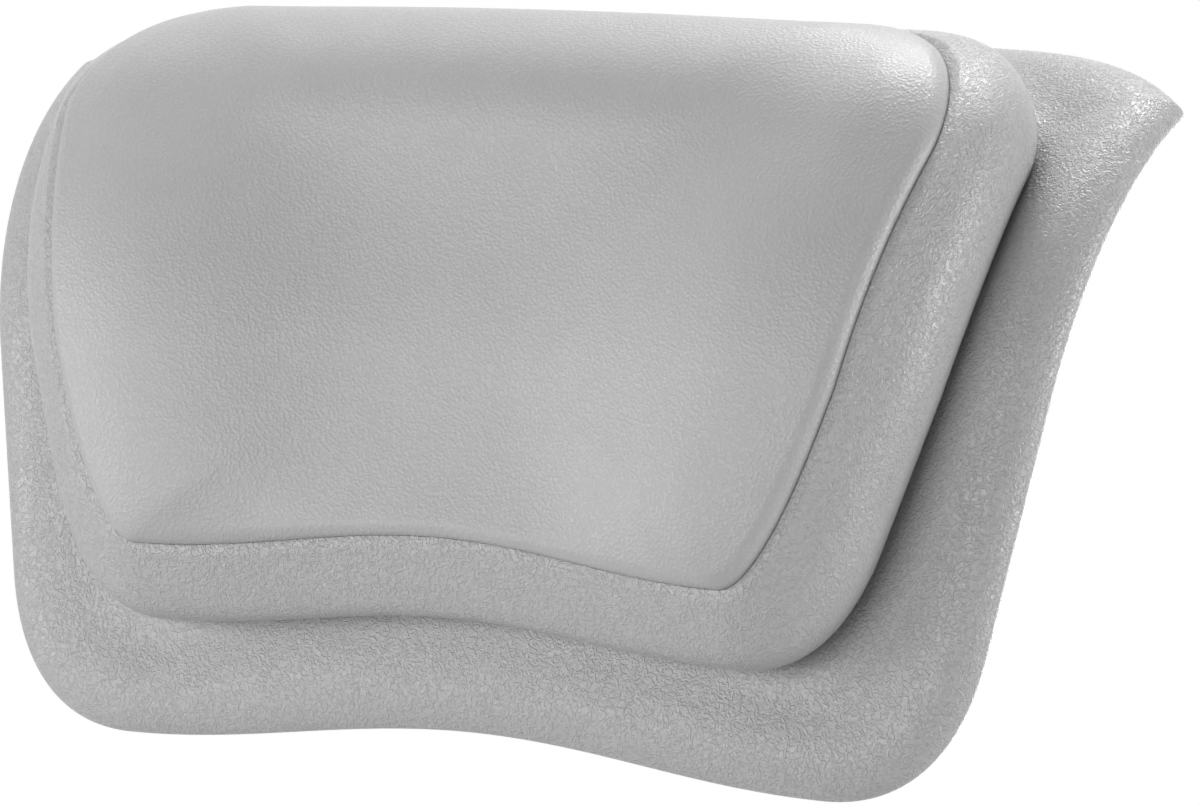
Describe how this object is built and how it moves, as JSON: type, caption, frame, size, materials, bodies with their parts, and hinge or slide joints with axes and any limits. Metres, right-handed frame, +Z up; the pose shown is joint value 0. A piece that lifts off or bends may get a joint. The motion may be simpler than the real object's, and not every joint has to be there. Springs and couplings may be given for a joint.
{
  "type": "bath pillow",
  "caption": "Moulded foam bath pillow with a dished head pad, neck bolster, rounded collar, rim lip and swivelling suction cups.",
  "frame": {"origin": "on the tub wall plane, in the middle of the four suction cups", "axes": "+X to the right as seen facing the pad, +Y back into the tub wall, +Z up"},
  "size_m": [0.3736, 0.1554, 0.2246],
  "materials": {
    "skin_coarse": "moulded polyurethane skin, coarse leather grain, satin",
    "skin_fine": "moulded polyurethane skin, fine pebble grain, satin",
    "core_foam": "open-cell soft foam",
    "plate_plastic": "moulded polypropylene",
    "bush_rubber": "moulded elastomer",
    "cup_vinyl": "soft clear-grey vinyl, glossy"
  },
  "bodies": {
    "pillow": {"base_flange": "skin_coarse", "body_collar": "skin_coarse", "head_pad": "skin_fine", "neck_core": "core_foam", "cup_plate": "plate_plastic", "cup_bush_upper_left": "bush_rubber", "cup_bush_upper_right": "bush_rubber", "cup_bush_lower_left": "bush_rubber", "cup_bush_lower_right": "bush_rubber"},
    "cup_upper_left": {"suction_cup_upper_left": "cup_vinyl"},
    "cup_upper_right": {"suction_cup_upper_right": "cup_vinyl"},
    "cup_lower_left": {"suction_cup_lower_left": "cup_vinyl"},
    "cup_lower_right": {"suction_cup_lower_right": "cup_vinyl"}
  },
  "joints": [
    {"name": "cup_swivel_upper_left", "type": "hinge", "parent": "pillow", "child": "cup_upper_left", "pos_m": [-0.08, 0, 0.0175], "axis": [0, 1, 0], "continuous": true},
    {"name": "cup_swivel_upper_right", "type": "hinge", "parent": "pillow", "child": "cup_upper_right", "pos_m": [0.08, 0, 0.0175], "axis": [0, 1, 0], "continuous": true},
    {"name": "cup_swivel_lower_left", "type": "hinge", "parent": "pillow", "child": "cup_lower_left", "pos_m": [-0.08, 0, -0.0175], "axis": [0, 1, 0], "continuous": true},
    {"name": "cup_swivel_lower_right", "type": "hinge", "parent": "pillow", "child": "cup_lower_right", "pos_m": [0.08, 0, -0.0175], "axis": [0, 1, 0], "continuous": true}
  ]
}
